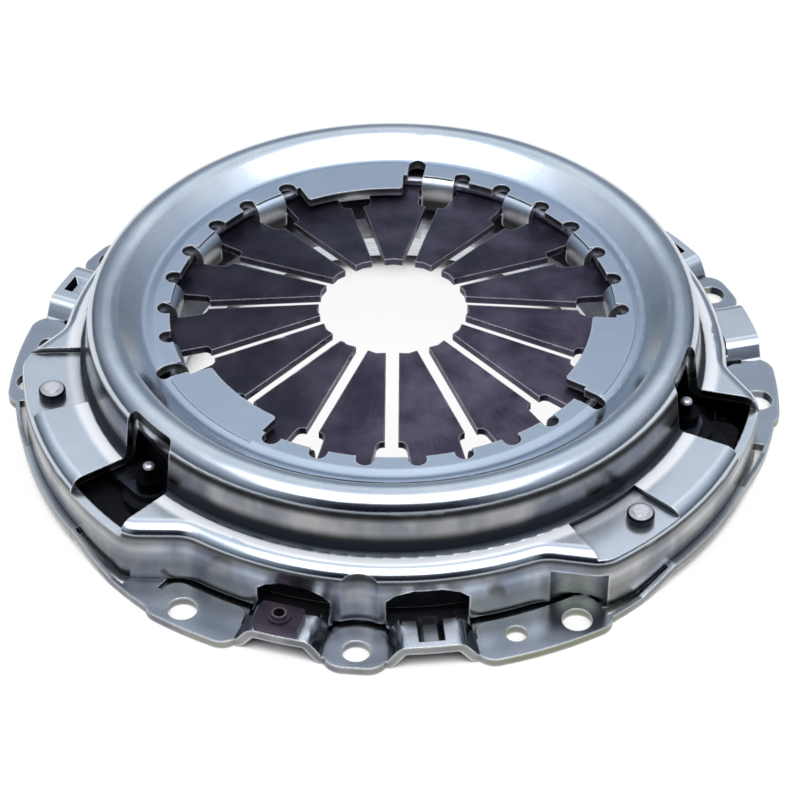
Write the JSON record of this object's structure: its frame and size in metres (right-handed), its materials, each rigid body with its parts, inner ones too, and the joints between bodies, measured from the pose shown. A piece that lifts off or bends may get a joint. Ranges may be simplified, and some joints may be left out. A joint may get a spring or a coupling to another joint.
{
  "type": "clutch pressure plate",
  "caption": "Dry clutch cover assembly: lobed stamped cover, diaphragm spring with radial fingers, cast pressure plate hung on leaf straps.",
  "frame": {"origin": "clutch axis in the plane of the flange underside, where the cover meets the flywheel", "axes": "+Z along the clutch axis, from the flywheel towards the release bearing; the left rear ear lies towards -X"},
  "size_m": [0.2412, 0.2369, 0.0418],
  "materials": {
    "zinc_sheet": "bright zinc plate",
    "spring_wire": "drawn wire",
    "weight_steel": "brown phosphate",
    "cast_iron": "as cast, face ground",
    "spring_steel": "dark phosphate, satin",
    "black_rivet": "black oxide",
    "bright_rivet": "zinc plate",
    "strap_steel": "blued strip"
  },
  "bodies": {
    "cover": {"cover": "zinc_sheet", "pivot_wire_upper": "spring_wire", "pivot_wire_lower": "spring_wire", "cover_rivet_a": "black_rivet", "cover_rivet_b": "black_rivet", "cover_rivet_c": "black_rivet", "strap_a_leaf_1": "strap_steel", "strap_a_leaf_2": "strap_steel", "strap_a_leaf_3": "strap_steel", "strap_b_leaf_1": "strap_steel", "strap_b_leaf_2": "strap_steel", "strap_b_leaf_3": "strap_steel", "strap_c_leaf_1": "strap_steel", "strap_c_leaf_2": "strap_steel", "strap_c_leaf_3": "strap_steel", "balance_weight": "weight_steel", "balance_rivet": "weight_steel"},
    "pressure_plate": {"pressure_plate": "cast_iron", "plate_rivet_a": "bright_rivet", "plate_rivet_b": "bright_rivet", "plate_rivet_c": "bright_rivet"},
    "diaphragm": {"diaphragm_spring": "spring_steel"}
  },
  "joints": [
    {"name": "plate_lift", "type": "slide", "parent": "cover", "child": "pressure_plate", "axis": [0, 0, 1], "range_m": [0, 0.0018], "stiffness_N_per_m": 12000, "deforming": ["strap_a_leaf_1", "strap_a_leaf_2", "strap_a_leaf_3", "strap_b_leaf_1", "strap_b_leaf_2", "strap_b_leaf_3", "strap_c_leaf_1", "strap_c_leaf_2", "strap_c_leaf_3"]},
    {"name": "finger_stroke", "type": "slide", "parent": "pressure_plate", "child": "diaphragm", "axis": [0, 0, -1], "range_m": [0, 0.0083], "deforming": ["diaphragm_spring"]}
  ],
  "couplings": [
    {"joint": "finger_stroke", "follows": "plate_lift", "ratio": 4.585}
  ]
}
